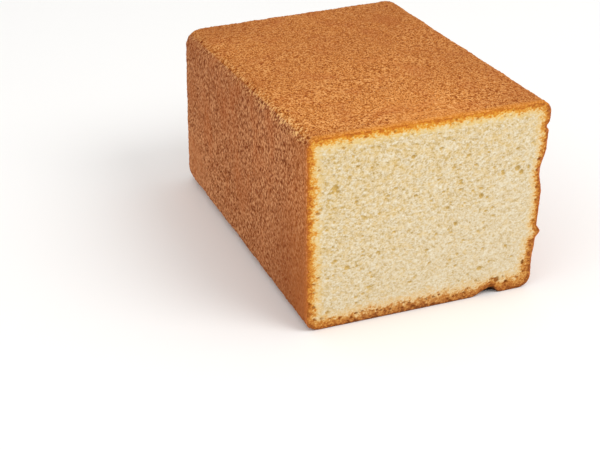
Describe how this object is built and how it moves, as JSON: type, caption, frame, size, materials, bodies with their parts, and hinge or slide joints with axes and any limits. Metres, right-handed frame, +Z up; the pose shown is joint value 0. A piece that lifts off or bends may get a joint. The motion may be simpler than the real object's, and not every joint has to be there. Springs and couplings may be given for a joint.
{
  "type": "butter cake",
  "caption": "Half of a tin-baked butter cake loaf, rectangular, with browned crust all round and an open cut face of pale crumb, to serve or to slice further.",
  "frame": {"origin": "centre of the base of the bounding box, on the surface the loaf stands on", "axes": "+X across the cut face to its right, +Y from the cut face to the crust end, +Z up"},
  "size_m": [0.1118, 0.1694, 0.0855],
  "materials": {
    "cake_crust": "matte",
    "cake_crumb": "matte"
  },
  "bodies": {
    "root": {"butter_cake": "cake_crust"}
  },
  "joints": []
}
